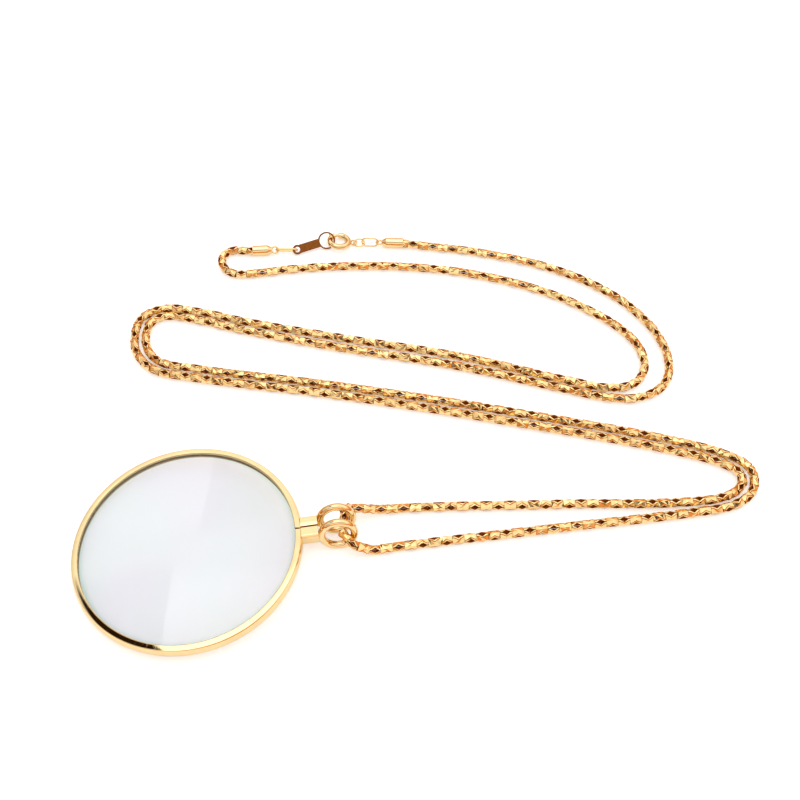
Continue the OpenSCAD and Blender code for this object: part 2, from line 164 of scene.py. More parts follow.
class PendantSettings(PropertyGroup):
    """The rim, its lugs and eyes, and the lens."""

    lens_width: a_length("Lens width", "Diameter of the lens", 42.8)
    lens_edge: a_length("Lens edge", "Thickness of the lens at its edge", 1)
    lens_dome: a_length("Lens dome", "Height of each domed face", 1.4)
    lip: a_length("Lip", "Width of the lens edge under the rim's lips", 0.4)
    seat_gap: a_length("Seat gap", "Gap round the lens in its groove", 0.1)
    rim_wall: a_length("Rim wall", "Wall of the rim outside the lens", 0.95)
    rim_height: a_length("Rim height", "Height of the rim at its inner crest", 2.6)
    rim_side: a_length("Rim side", "Height of the rim's rounded outer side", 2.3)
    rim_bulge: a_length("Rim bulge", "How far the rounded side stands out past its edges", 0.35)
    rim_round: a_length("Rim rounding", "Radius of the rim's edges", 0.16)
    split: a_length("Split", "Width of the split in the rim", 0.25)
    notch_width: a_length("Notch width", "Width of the notch inside the split", 0.4)
    notch_length: a_length("Notch length", "Length of the notch", 0.8)
    lug_length: a_length("Lug length", "Length of the lugs", 3)
    lug_width: a_length("Lug width", "Width of both lugs together", 4.7)
    lug_height: a_length("Lug height", "Height of the lugs", 3)
    eye_hole: a_length("Eye hole", "Hole in each eye", 4.9)
    eye_wire: a_length("Eye wire", "Wire of each eye", 1.5)
    eye_pitch: a_length("Eye pitch", "Distance between the two eyes", 3.5)
    eye_lean: an_angle("Eye lean", "Lean of the eyes", 11)
    eye_solder: a_length("Eye solder", "Depth to which the eyes run into the lugs", 0.25)
    turn: an_angle("Turn", "Turn of the pendant's axis", 7.5)


class ChainSettings(PropertyGroup):
    """The chain and its links."""

    width: a_length("Width", "Diameter of the chain", 1.9)
    pitch: a_length("Pitch", "Distance from one link to the next", 2.35)
    lead_right: a_length(
        "Lead, right", "From the start of the right strand to its first link", 2.16)
    lead_left: a_length("Lead, left", "From the start of the left strand to its first link", 1.75)
    wander: an_angle("Wander", "How far the links stray from the strand's own roll", 50)
    wander_length: a_length("Wander length", "Length over which the links stray", 24)
    facing: FloatVectorProperty(
        name="Facing", description="Where the links' openings face at a roll of nothing",
        default=(0, -0.6, 0.8), subtype="DIRECTION")
    seed: IntProperty(name="Seed", description="Start of the wandering", default=3)


class FittingSettings(PropertyGroup):
    """The end caps."""

    cap_width: a_length("Cap width", "Outer diameter of the end caps", 2.4)
    cap_hold: a_length("Cap hold", "Depth to which the chain sits in a cap", 1.15)
    right_turn: an_angle("Right turn", "Direction from the clasp to the right cap", -2.6)
    left_turn: an_angle("Left turn", "Direction of the left cap, from its eye to its mouth", 184)


class FinishSettings(PropertyGroup):
    """Colours of the metal and the glass, and of the shade painted into the metal's hollows."""

    gold: a_colour("Gold", "Colour of the polished gold plate", (0.93, 0.72, 0.38))
    pale_gold: a_colour("Pale gold", "Colour of the chain's faces", (0.97, 0.71, 0.32))
    # Painted shade, not colours of the metal: brown in the links' openings, on their staples and
    # in the rim's split; amber, a painted shade with the warmth of gold reflecting gold, on the
    # links' creases and the walls of the lens's groove
    painted_shade_brown: a_colour("Brown", "Colour in the depths of the links", (0.3, 0.09, 0.012))
    painted_shade_amber: a_colour("Amber", "Colour of the creases of the links", (0.55, 0.24, 0.06))
    copper: a_colour("Copper", "Colour of the tag", (0.26, 0.085, 0.018))
    glass: a_colour("Glass", "Tint of the lens", (0.945, 0.963, 1))
    glass_edge: a_colour("Glass edge", "Tint of the lens by the rim", (0.72, 0.86, 0.85))


class PendantSceneSettings(PropertyGroup):
    """All the settings of the magnifier pendant."""

    stage: PointerProperty(type=StageSettings)
    pendant: PointerProperty(type=PendantSettings)
    chain: PointerProperty(type=ChainSettings)
    fittings: PointerProperty(type=FittingSettings)
    finish: PointerProperty(type=FinishSettings)


def settings():
    """The settings of the scene."""
    return bpy.context.scene.magnifier_pendant


# Node helpers

# The colour sockets of a mix node, which share their names with its other sockets
MIX_A, MIX_B, MIX_RESULT = 6, 7, 2
# How much rougher a gold is where its painted shade is fullest
PAINTED_SHADE_DULL = 0.4
# The fine scratches and the small dents of gold plate, in waves per metre
SCRATCHES, DENTS = 2600, 900


def add_node(tree, kind, place=(0, 0), **values):
    """A new node, with its sockets and properties set by name."""
    node = tree.nodes.new(kind)
    node.location = place
    for name, value in values.items():
        if name in node.inputs:
            node.inputs[name].default_value = value
        else:
            setattr(node, name, value)
    return node


def new_material(name):
    """An empty material with its output: the material, its tree and its shader."""
    material = bpy.data.materials.new(name)
    material.use_nodes = True
    tree = material.node_tree
    tree.nodes.clear()
    output = add_node(tree, "ShaderNodeOutputMaterial", (600, 0))
    shader = add_node(tree, "ShaderNodeBsdfPrincipled", (300, 0))
    tree.links.new(shader.outputs["BSDF"], output.inputs["Surface"])
    return material, tree, shader


def maths(tree, operation, a, b, place):
    """The result of a sum on two values: each is a number or a socket."""
    node = add_node(tree, "ShaderNodeMath", place, operation=operation)
    for i, value in enumerate((a, b)):
        if isinstance(value, (int, float)):
            node.inputs[i].default_value = value
        else:
            tree.links.new(value, node.inputs[i])
    return node.outputs[0]


def product(tree, a, b, place):
    """The product of two colours."""
    node = add_node(tree, "ShaderNodeMix", place, data_type="RGBA", blend_type="MULTIPLY")
    node.inputs["Factor"].default_value = 1
    tree.links.new(a, node.inputs[MIX_A])
    tree.links.new(b, node.inputs[MIX_B])
    return node.outputs[MIX_RESULT]


def object_noise(tree, scale, detail, place, stretch=(1, 1, 1)):
    """Noise in the object's own coordinates: scale is in waves per metre."""
    coordinates = add_node(tree, "ShaderNodeTexCoord", (place[0] - 400, place[1]))
    mapping = add_node(tree, "ShaderNodeMapping", (place[0] - 200, place[1]))
    mapping.inputs["Scale"].default_value = stretch
    noise = add_node(tree, "ShaderNodeTexNoise", place)
    noise.inputs["Scale"].default_value = scale
    noise.inputs["Detail"].default_value = detail
    tree.links.new(coordinates.outputs["Object"], mapping.inputs["Vector"])
    tree.links.new(mapping.outputs["Vector"], noise.inputs["Vector"])
    return noise.outputs["Fac"]


def ramp(tree, source, stops, place):
    """A colour ramp: stops are positions with their colours."""
    node = add_node(tree, "ShaderNodeValToRGB", place)
    elements = node.color_ramp.elements
    while len(elements) < len(stops):
        elements.new(0.5)
    for element, (position, colour) in zip(elements, stops):
        element.position = position
        element.color = (*colour, 1)
    tree.links.new(source, node.inputs["Fac"])
    return node.outputs["Color"]


def grey(value):
    """A grey as a colour."""
    return (value, value, value)


def shade(colour, factor):
    """A lighter or darker tone of a colour."""
    return tuple(min(1, c * factor) for c in colour)


def gold_plate(name, colour, roughness=(0.05, 0.16), patch=260, bump=0.06):
    """Polished gold plate: patches of slightly deeper tone, fine scratches and small dents."""
    material, tree, shader = new_material(name)
    shader.inputs["Metallic"].default_value = 1
    patches = object_noise(tree, patch, 3, (-500, 300))
    tones = ramp(tree, patches, (
        (0.35, shade(colour, 0.93)),
        (0.55, colour),
        (0.75, shade(colour, 1.04)),
    ), (-250, 300))
    tree.links.new(tones, shader.inputs["Base Color"])
    scratches = object_noise(tree, SCRATCHES, 4, (-500, 0), (1, 0.12, 0.6))
    dull = ramp(tree, scratches, (
        (0.42, grey(roughness[0])),
        (0.72, grey(roughness[1])),
    ), (-250, 0))
    tree.links.new(dull, shader.inputs["Roughness"])
    dents = object_noise(tree, DENTS, 2, (-500, -300))
    relief = add_node(tree, "ShaderNodeBump", (-250, -300), Strength=bump, Distance=0.05 * MM)
    tree.links.new(dents, relief.inputs["Height"])
    tree.links.new(relief.outputs["Normal"], shader.inputs["Normal"])
    return material


def with_painted_shade(material, stops):
    """Paints shade into a gold: darker, duller and less metallic where the piece's painted shade
    attribute is high.
    """
    tree = material.node_tree
    shader = next(n for n in tree.nodes if n.type == "BSDF_PRINCIPLED")
    # Painted shade: the attribute picks a dark tone that multiplies the gold's colour, takes away
    # its shine and roughens it
    depth = add_node(tree, "ShaderNodeAttribute", (-700, 700), attribute_name="depth")
    tone = ramp(tree, depth.outputs["Fac"], stops, (-450, 700))
    surface = shader.inputs["Base Color"].links[0].from_socket
    tree.links.new(product(tree, surface, tone, (0, 400)), shader.inputs["Base Color"])
    dull = add_node(tree, "ShaderNodeMath", (0, 0), operation="MULTIPLY_ADD")
    dull.inputs[1].default_value = PAINTED_SHADE_DULL
    tree.links.new(depth.outputs["Fac"], dull.inputs[0])
    tree.links.new(shader.inputs["Roughness"].links[0].from_socket, dull.inputs[2])
    tree.links.new(dull.outputs[0], shader.inputs["Roughness"])
    shine = maths(tree, "SUBTRACT", 1, depth.outputs["Fac"], (0, 600))
    tree.links.new(shine, shader.inputs["Metallic"])
    shader.inputs["Specular IOR Level"].default_value = 0.1
    return material


def lens_glass(name, tint, edge_tint):
    """Clear glass with the lightest smears, tinted where it is seen edge on by the rim."""
    material, tree, shader = new_material(name)
    shader.inputs["Transmission Weight"].default_value = 0.88
    shader.inputs["IOR"].default_value = 1.5
    edge = add_node(tree, "ShaderNodeAttribute", (-700, 300), attribute_name="edge")
    tones = ramp(tree, edge.outputs["Fac"], (
        (0.93, tint),
        (0.98, edge_tint),
    ), (-450, 300))
    clouds = ramp(tree, object_noise(tree, 45, 1, (-700, 600)), (
        (0.4, (0.97, 1, 0.985)),
        (0.6, (0.985, 0.985, 1)),
    ), (-450, 600))
    mixed = product(tree, tones, clouds, (-150, 400))
    tree.links.new(mixed, shader.inputs["Base Color"])
    smears = object_noise(tree, 60, 3, (-500, 0))
    dull = ramp(tree, smears, ((0.4, grey(0.0)), (0.75, grey(0.05))), (-250, 0))
    tree.links.new(dull, shader.inputs["Roughness"])
    return material


# Mesh helpers

def mesh_piece(name, points, faces, depths=None, sharp_angle=math.radians(35), fix_normals=True):
    """A mesh object at the origin, smooth but for its sharp edges, with a painted shade value for
    each face.
    """
    mesh = bpy.data.meshes.new(name)
    mesh.from_pydata([tuple(p) for p in points], [], faces)
    # The painted shade of each face, read by the gold's material
    if depths:
        mesh.attributes.new("depth", "FLOAT", "FACE").data.foreach_set("value", depths)
    body = bmesh.new()
    body.from_mesh(mesh)
    bmesh.ops.remove_doubles(body, verts=body.verts, dist=1e-7)
    if fix_normals:
        bmesh.ops.recalc_face_normals(body, faces=body.faces)
    for face in body.faces:
        face.smooth = True
    for edge in body.edges:
        edge.smooth = edge.is_manifold and edge.calc_face_angle(0) < sharp_angle
    body.to_mesh(mesh)
    body.free()
    piece = bpy.data.objects.new(name, mesh)
    bpy.context.scene.collection.objects.link(piece)
    return piece


def rounded(corners, radius, steps=4):
    """A closed outline with each corner turned into an arc."""
    outline = []
    count = len(corners)
    for i, corner in enumerate(corners):
        here = Vector(corner)
        back = Vector(corners[i - 1]) - here
        ahead = Vector(corners[(i + 1) % count]) - here
        half = back.angle(ahead) / 2
        reach = min(radius / math.tan(half), back.length * 0.45, ahead.length * 0.45)
        bow = reach * math.tan(half)
        inward = (back.normalized() + ahead.normalized()).normalized()
        middle = here + inward * (bow / math.sin(half))
        start = here + back.normalized() * reach - middle
        end = here + ahead.normalized() * reach - middle
        sweep = start.angle_signed(end)
        for k in range(steps + 1):
            turn = Matrix.Rotation(-sweep * k / steps, 2)
            outline.append(middle + turn @ start)
    return outline


def lathe(outline, steps, gap=0.0):
    """Points and faces of a closed outline (radius, height) spun about Z, open by a gap."""
    count = len(outline)
    full = gap == 0
    rings = steps if full else steps + 1
    points = []
    for i in range(rings):
        angle = gap / 2 + (2 * math.pi - gap) * i / steps
        points += [(r * math.cos(angle), r * math.sin(angle), h) for r, h in outline]
    faces = []
    for i in range(steps):
        a, b = i * count, ((i + 1) % rings) * count
        faces += [(a + k, b + k, b + (k + 1) % count, a + (k + 1) % count) for k in range(count)]
    if not full:
        faces.append(tuple(range(count)))
        faces.append(tuple(steps * count + k for k in reversed(range(count))))
    return points, faces


def tube(path, wires, sides):
    """Points and faces of a closed round wire along a flat path, with a radius for each point."""
    count = len(path)
    points = []
    for i, here in enumerate(path):
        along = (path[(i + 1) % count] - path[i - 1]).normalized()
        side = along.cross(Vector((0, 0, 1))).normalized()
        up = side.cross(along)
        for k in range(sides):
            angle = 2 * math.pi * k / sides
            points.append(here + wires[i] * (math.cos(angle) * side + math.sin(angle) * up))
    faces = []
    for i in range(count):
        a, b = i * sides, ((i + 1) % count) * sides
        faces += [(a + k, b + k, b + (k + 1) % sides, a + (k + 1) % sides) for k in range(sides)]
    return points, faces


def joined(*parts):
    """Several lists of points and faces as one."""
    points, faces = [], []
    for more_points, more_faces in parts:
        shift = len(points)
        points += [Vector(p) for p in more_points]
        faces += [tuple(i + shift for i in face) for face in more_faces]
    return points, faces


def moved(part, matrix):
    """Points and faces with a matrix applied to the points."""
    points, faces = part
    return [matrix @ Vector(p) for p in points], faces


def paint(piece, material):
    """Gives a piece one material."""
    piece.data.materials.clear()
    piece.data.materials.append(material)


def finish_piece(piece, material, node):
    """Gives a piece its material and its body, and hides the CAD node that it stands for."""
    paint(piece, material)
    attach(piece, BODY)
    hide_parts(node)


# Pendant

def pendant_sizes():
    """Radii and places that follow from the pendant's settings."""
    p = settings().pendant
    seat = p.lens_width / 2 + p.seat_gap
    lip = p.lens_width / 2 - p.lip
    outer = seat + p.rim_wall
    eye = (p.eye_hole + p.eye_wire) / 2
    eye_x = outer + p.lug_length + eye + p.eye_wire / 2 - p.eye_solder
    return seat, lip, outer, eye, eye_x


def pendant_matrix():
    """From the pendant's own frame, with the disc's middle at its origin, to its place."""
    low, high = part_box("lens")
    middle = (low + high) / 2
    eye_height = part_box("rim")[1].z / 2
    eye_x = pendant_sizes()[4]
    tilt = math.asin((eye_height - middle.z) / eye_x)
    turn = Euler((0, -tilt, settings().pendant.turn)).to_matrix().to_4x4()
    return Matrix.Translation(middle) @ turn


def rim_outline():
    """The rim's section, as radius and height, with its rounded outer side."""
    p = settings().pendant
    seat, lip, outer, _, _ = pendant_sizes()
    seat_half = p.lens_edge / 2 + p.seat_gap + 0.05 * MM
    half, side = p.rim_height / 2, p.rim_side / 2
    bulge = (side ** 2 + p.rim_bulge ** 2) / (2 * p.rim_bulge)
    arc = math.asin(side / bulge)
    steps = 8
    corners = [(seat, -seat_half), (lip, -seat_half), (lip, -half)]
    corners += [
        (outer - bulge + bulge * math.cos(a), bulge * math.sin(a))
        for a in (arc * (2 * i / steps - 1) for i in range(steps + 1))
    ]
    corners += [(lip, half), (lip, seat_half), (seat, seat_half)]
    return rounded(corners, p.rim_round, 4)


def rim_band():
    """The split rim, with the notch inside its split."""
    p = settings().pendant
    _, lip, outer, _, _ = pendant_sizes()
    steps = 240
    outline = rim_outline()
    points, faces = lathe(outline, steps, p.split / outer)
    widen = (p.notch_width - p.split) / 2
    for ring, way in ((0, 1), (steps, -1)):
        for k, (radius, _) in enumerate(outline):
            if radius < lip + p.notch_length:
                x, y, z = points[ring * len(outline) + k]
                points[ring * len(outline) + k] = (x, y + way * widen, z)
    return points, faces


def rim_depth(points, face):
    """How much shade is painted on a face of the rim: full in the split, most on the walls of the
    lens's groove, and a trace on the lip's inner face.
    """
    p = settings().pendant
    _, lip, outer, _, _ = pendant_sizes()
    middle = sum((Vector(points[i]) for i in face), Vector()) / len(face)
    reach = middle.xy.length
    if middle.x > 0 and abs(middle.y) < p.split / 2 + 0.01 * MM and reach < outer + p.lug_length:
        return 1
    if reach < lip + p.lens_edge and abs(middle.z) < p.lens_edge:
        return 0.6 if reach > lip + 0.02 * MM else 0.05
    return 0


def lug_blocks():
    """The two lugs, one on each side of the split."""
    p = settings().pendant
    _, _, outer, _, _ = pendant_sizes()
    root = 0.3 * MM
    edge = 0.35 * MM
    parts = []
    for side in (-1, 1):
        near, far = side * p.split / 2, side * p.lug_width / 2
        half = p.lug_height / 2
        corners = [(near, -half), (far - side * edge, -half), (far, -half + edge),
                   (far, half - edge), (far - side * edge, half), (near, half)]
        if side < 0:
            corners.reverse()
        outline = rounded(corners, 0.1 * MM, 3)
        ends = (outer - root, outer + p.lug_length)
        points = [(x, y, z) for x in ends for y, z in outline]
        count = len(outline)
        faces = [(k, (k + 1) % count, count + (k + 1) % count, count + k) for k in range(count)]
        faces += [tuple(reversed(range(count))), tuple(count + k for k in range(count))]
        parts.append((points, faces))
    return parts


def eye_rings():
    """The two eyes, each with the small ridge where its wire was closed."""
    p = settings().pendant
    _, _, _, eye, eye_x = pendant_sizes()
    steps, ridge_at, ridge = 96, 34, 0.05 * MM
    parts = []
    for side in (-1, 1):
        path = [
            Vector((eye * math.cos(a), eye * math.sin(a), 0))
            for a in (2 * math.pi * i / steps for i in range(steps))
        ]
        wires = [p.eye_wire / 2 + (ridge if i == ridge_at else 0) for i in range(steps)]
        upright = Euler((math.radians(90) - p.eye_lean, 0, 0)).to_matrix().to_4x4()
        place = Matrix.Translation((eye_x, side * p.eye_pitch / 2, 0)) @ upright
        parts.append(moved(tube(path, wires, 24), place))
    return parts


class PENDANT_OT_rim(Operator):
    """Build the split rim with its lugs and eyes"""

    bl_idname = "pendant.rim"
    bl_label = "Rim, lugs and eyes"

    def execute(self, context):
        finish = settings().finish
        points, faces = joined(rim_band(), *lug_blocks(), *eye_rings())
        depths = [rim_depth(points, face) for face in faces]
        rim = mesh_piece("rim_with_eyes", *moved((points, faces), pendant_matrix()), depths)
        gold = gold_plate("rim_gold", finish.gold, (0.03, 0.1), 260, 0.03)
        # Painted shade: brown in the split, amber on the walls of the lens's groove
        with_painted_shade(gold, ((0, grey(1)), (0.5, finish.painted_shade_amber), (1, finish.painted_shade_brown)))
        finish_piece(rim, gold, "rim")
        paint(frame["nodes"]["lug_screw"], gold)
        return {"FINISHED"}


class PENDANT_OT_lens(Operator):
    """Build the lens"""

    bl_idname = "pendant.lens"
    bl_label = "Lens"

    def execute(self, context):
        p = settings().pendant
        radius, dome = p.lens_width / 2, p.lens_dome
        ball = (radius ** 2 + dome ** 2) / (2 * dome)
        rings = 28
        top = []
        for i in range(rings + 1):
            r = radius * (1 - i / rings)
            top.append((r, p.lens_edge / 2 + math.sqrt(ball ** 2 - r ** 2) - (ball - dome)))
        outline = top + [(r, -h) for r, h in reversed(top)]
        points, faces = lathe(outline, 160)
        matrix = pendant_matrix()
        lens = mesh_piece("lens_glass", *moved((points, faces), matrix))
        back = matrix.inverted()
        reach = lens.data.attributes.new("edge", "FLOAT", "POINT")
        shares = [(back @ v.co).xy.length / radius for v in lens.data.vertices]
        reach.data.foreach_set("value", shares)
        finish = settings().finish
        glass = lens_glass("lens_glass", finish.glass, finish.glass_edge)
        finish_piece(lens, glass, "lens")
        return {"FINISHED"}


# Chain

def route_point(x, y, z):
    """A point in metres from a place in the route and a height in metres."""
    return Vector((x * MM + ROUTE_SHIFT.x, y * MM + ROUTE_SHIFT.y, z))


def strand_points(side):
    """One strand of the doubled stretch with its rolls: side 1 is the left, -1 the right."""
    middle = [Vector((row[X], row[Y])) for row in LAY]
    points = []
    for i, row in enumerate(LAY):
        back = middle[i] - middle[i - 1] if i else middle[1] - middle[0]
        ahead = middle[i + 1] - middle[i] if i < len(LAY) - 1 else back
        heading = (back.normalized() + ahead.normalized()).normalized()
        across = Vector((-heading.y, heading.x)) * side * row[APART] / 2
        spot = middle[i] + across
        place = route_point(spot.x, spot.y, settings().chain.width / 2)
        points.append((place, row[ROLL[side]]))
    return points


def start_points(rows, side):
    """The first points of a strand, through its eye and down to the floor."""
    p, chain = settings().pendant, settings().chain
    eye_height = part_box("rim")[1].z / 2
    axis = Vector((math.cos(p.turn), math.sin(p.turn)))
    across = Vector((-axis.y, axis.x))
    thread_gap, thread_drop = 0.1, 0.4
    threaded = p.eye_hole / 2 / MM - chain.width / 2 / MM - thread_gap
    table = [(threaded, w, thread_drop) for w in (0, side * p.eye_pitch / 2 / MM)]
    points = []
    for along, aside, down in table + list(rows):
        spot = Vector(EYES_IN_ROUTE) + axis * along + across * aside
        height = max(eye_height - down * MM, chain.width / 2)
        points.append((route_point(spot.x, spot.y, height), 0))
    return points


def cap_mouth(node, turn, side):
    """The middle of a cap's mouth, from the cap's box: side is 1 for the right cap."""
    low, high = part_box(node)
    radius = settings().fittings.cap_width / 2
    edge = high.x if side > 0 else low.x
    return Vector((
        edge - side * radius * abs(math.sin(turn)),
        low.y + radius * abs(math.cos(turn)),
        radius,
    ))


def cap_points(node, turn, side, roll):
    """The chain's last two points: just outside the mouth of its cap, and inside it."""
    lead = 0.7 * MM
    mouth = cap_mouth(node, turn, side)
    inward = -Vector((math.cos(turn), math.sin(turn), 0))
    return [(mouth - inward * lead, roll), (mouth + inward * settings().fittings.cap_hold, roll)]


def right_route():
    """The right strand, from the eyes to its end cap."""
    turn = settings().fittings.right_turn
    return (start_points(RIGHT_START, -1) + strand_points(-1)
            + cap_points("right_cap", turn, 1, LAY[-1][ROLL[-1]]))


def left_route():
    """The left strand, from the eyes to its end cap."""
    turn = settings().fittings.left_turn
    tail = [(route_point(x, y, settings().chain.width / 2), roll) for x, y, roll in LEFT_TAIL]
    return (start_points(LEFT_START, 1) + strand_points(1) + tail
            + cap_points("left_cap", turn, -1, LEFT_TAIL[-1][-1]))


# A link is two curved shells that leave a pointed opening on each side between them, with a
# crease that follows the opening's edge. Each row is one section of a shell: its place along
# the link and its radius, in shares of the chain's radius, the angles of its edge and of its
# crease from the shell's middle, and how high its inner ridge lies
LINK_SECTIONS = (
    # along, radius, edge, crease, ridge
    (-1.22, 0.96, 85, 70, 0.6),
    (-0.82, 1.0, 84, 62, 0.05),
    (0.0, 1.0, 55, 34, 0.02),
    (0.82, 1.0, 84, 62, 0.05),
    (1.22, 0.96, 85, 70, 0.6),
)
CREASE_HALF_WIDTH = 5.5
CREASE_DROP = 0.06
# Painted shade of the faces across a shell, from one edge to the other and back along the inside:
# amber on the creases and brown on the inside, where the openings show
SHELL_PAINTED_SHADES = (0, 0.55, 0, 0, 0.55, 0, 1, 1)
# Painted shade of the faces that close the ends of a shell
END_PAINTED_SHADE = 0.4
# The staple at each end of a link, which holds the next link: along and across
STAPLE = ((1.0, 0.58), (1.48, 0.44), (1.48, -0.44), (1.0, -0.58))
STAPLE_HALF_THICK = 0.11
STAPLE_HALF_WIDE = 0.13


def link_shell(side):
    """One shell of a link, above its axis or below it, with a painted shade for each face."""
    points, faces, depths = [], [], []
    for along, radius, edge, crease, ridge in LINK_SECTIONS:
        low = radius - CREASE_DROP
        outer, inner = crease + CREASE_HALF_WIDTH, crease - CREASE_HALF_WIDTH
        for angle, reach in ((-edge, radius), (-outer, radius), (-inner, low), (0, low + 0.02),
                             (inner, low), (outer, radius), (edge, radius)):
            turn = math.radians(angle)
            points.append((along, reach * math.sin(turn), side * reach * math.cos(turn)))
        points.append((along, 0, side * ridge))
    count = len(SHELL_PAINTED_SHADES)
    for i in range(len(LINK_SECTIONS) - 1):
        a, b = i * count, (i + 1) * count
        faces += [(a + k, b + k, b + (k + 1) % count, a + (k + 1) % count) for k in range(count)]
        depths += SHELL_PAINTED_SHADES
    last = (len(LINK_SECTIONS) - 1) * count
    faces += [tuple(range(count)), tuple(last + k for k in reversed(range(count)))]
    return points, faces, depths + [END_PAINTED_SHADE] * 2


def link_staple(side):
    """The staple at one end of a link, painted in full shade."""
    points, faces = [], []
    for i, (along, up) in enumerate(STAPLE):
        outward = 1 if i in (0, 1) else -1
        reach = STAPLE_HALF_THICK
        for thick, wide in ((-1, -1), (-1, 1), (1, 1), (1, -1)):
            if i in (1, 2):
                spot = (along + thick * reach, up + thick * reach * outward)
            else:
                spot = (along, up + thick * reach * outward)
            points.append((side * spot[0], wide * STAPLE_HALF_WIDE, spot[1]))
    for i in range(3):
        a, b = i * 4, (i + 1) * 4
        faces += [(a + k, b + k, b + (k + 1) % 4, a + (k + 1) % 4) for k in range(4)]
    faces += [(0, 1, 2, 3), (15, 14, 13, 12)]
    # Each face of the staple is painted in full shade
    return points, faces, [1] * len(faces)


def link_mesh():
    """The mesh of one link, along X, with its openings towards Y."""
    points, faces, depths = [], [], []
    for part in (link_shell(1), link_shell(-1), link_staple(1), link_staple(-1)):
        shift = len(points)
        points += part[0]
        faces += [tuple(i + shift for i in face) for face in part[1]]
        depths += part[2]
    radius = settings().chain.width / 2
    mesh = bpy.data.meshes.new("link")
    mesh.from_pydata([tuple(c * radius for c in p) for p in points], [], faces)
    # The painted shade of each face, read by the gold's material
    mesh.attributes.new("depth", "FLOAT", "FACE").data.foreach_set("value", depths)
    body = bmesh.new()
    body.from_mesh(mesh)
    bmesh.ops.recalc_face_normals(body, faces=body.faces)
    body.to_mesh(mesh)
    body.free()
    return mesh


def route_curve(name, points, turn):
    """A smooth curve through the route's points, tilted by their rolls and one turn for all."""
    data = bpy.data.curves.new(name, "CURVE")
    data.dimensions = "3D"
    data.resolution_u = 24
    spline = data.splines.new("BEZIER")
    spline.bezier_points.add(len(points) - 1)
    for knot, (place, roll) in zip(spline.bezier_points, points):
        knot.co = place
        knot.tilt = math.radians(roll) + turn
        knot.handle_left_type = knot.handle_right_type = "AUTO"
    curve = bpy.data.objects.new(name, data)
    bpy.context.scene.collection.objects.link(curve)
    bpy.context.view_layer.update()
    return curve


